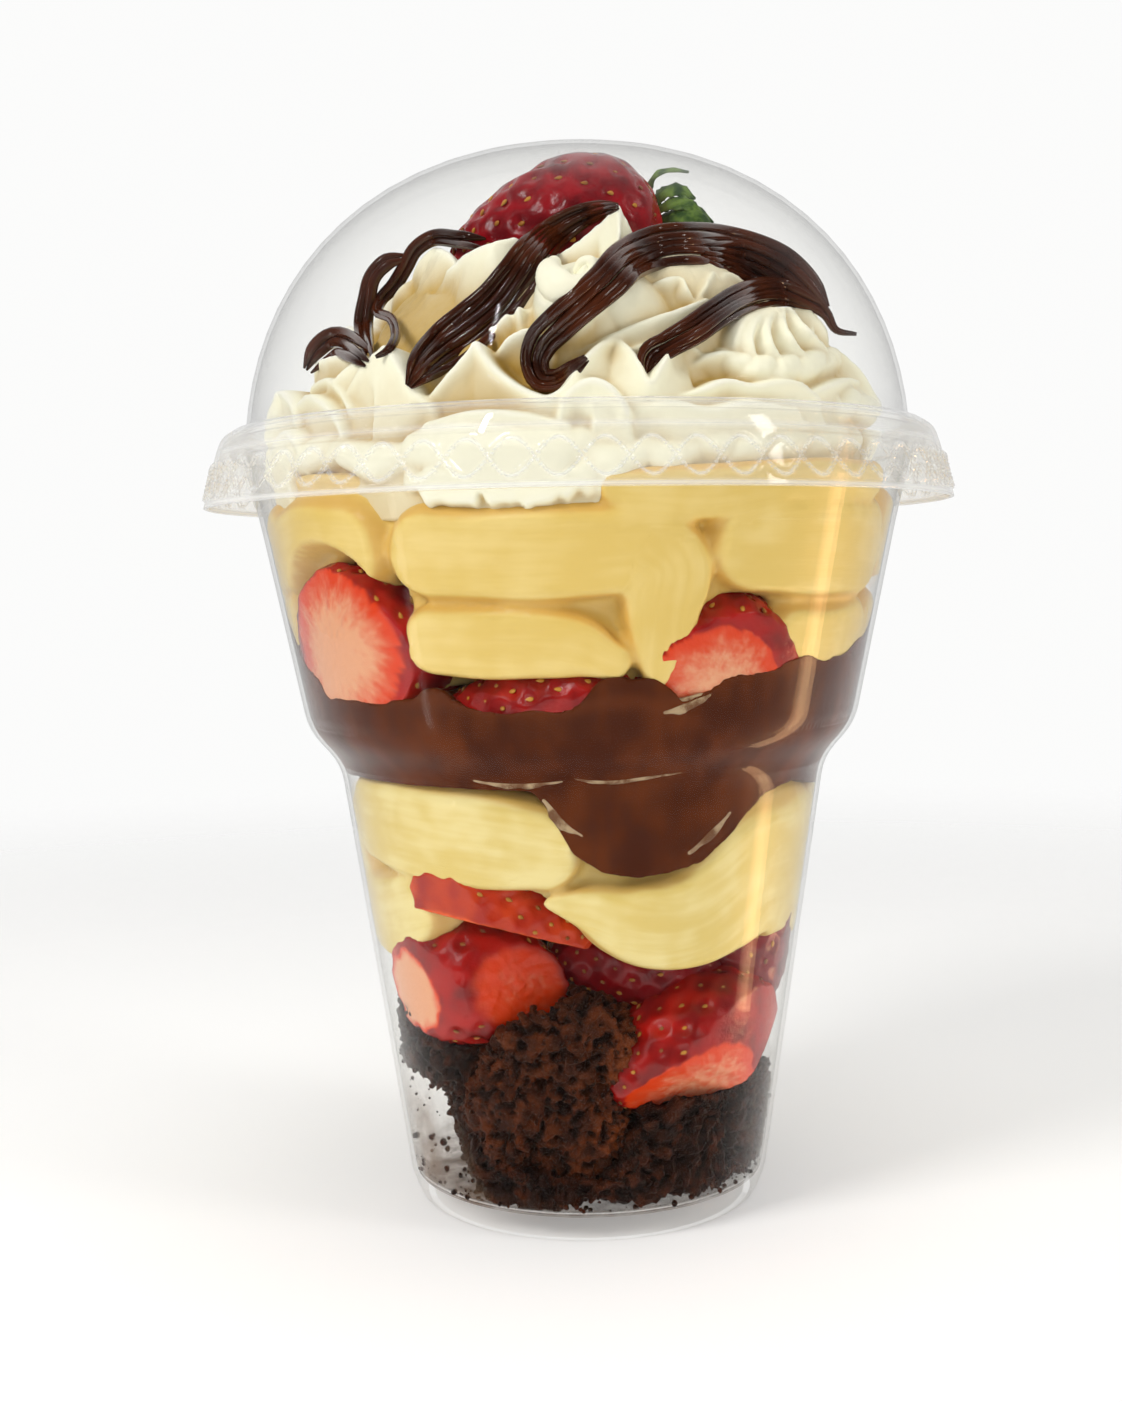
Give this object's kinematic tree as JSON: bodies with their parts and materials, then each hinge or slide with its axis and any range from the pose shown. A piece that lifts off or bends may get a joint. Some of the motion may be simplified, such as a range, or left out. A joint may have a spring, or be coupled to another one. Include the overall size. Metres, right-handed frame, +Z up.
{
  "type": "layered brigadeiro dessert cup",
  "caption": "Clear stepped cup of brownie, strawberries, milk cream, chocolate and whipped cream with drizzle under a domed lid.",
  "frame": {"origin": "centre of the foot ring's underside, on the cup's axis", "axes": "+Z up along the cup's axis towards the dome, -Y towards the viewer of the picture"},
  "size_m": [0.105, 0.105, 0.1478],
  "materials": {
    "clear_cup": "clear thermoformed plastic, glossy",
    "clear_lid": "clear thermoformed plastic with a faint grey film",
    "strawberry": "moist strawberry skin with golden seeds and pale cut flesh",
    "brownie": "dark moist crumb, torn and porous",
    "lower_cream": "pale milk brigadeiro cream, satin",
    "chocolate": "soft chocolate brigadeiro, glossy",
    "upper_cream": "yellow milk brigadeiro cream, satin",
    "whipped_cream": "piped whipped cream, soft sheen",
    "leaf": "fresh green leaf"
  },
  "bodies": {
    "root": {"cup": "clear_cup", "dome_lid": "clear_lid", "strawberry_wedge": "strawberry", "strawberry_half_left": "strawberry", "strawberry_slice": "strawberry", "strawberry_middle": "strawberry", "strawberry_right": "strawberry", "strawberry_back": "strawberry", "strawberry_upper_left": "strawberry", "strawberry_upper_middle": "strawberry", "strawberry_upper_right": "strawberry", "strawberry_upper_back": "strawberry", "strawberry_upper_far": "strawberry", "top_strawberry": "strawberry", "brownie_front": "brownie", "brownie_base": "brownie", "brownie_left": "brownie", "brownie_back": "brownie", "brownie_right": "brownie", "cream_lower": "lower_cream", "chocolate_layer": "chocolate", "cream_upper": "upper_cream", "whipped_cream": "whipped_cream", "strawberry_leaves": "leaf"}
  },
  "joints": []
}
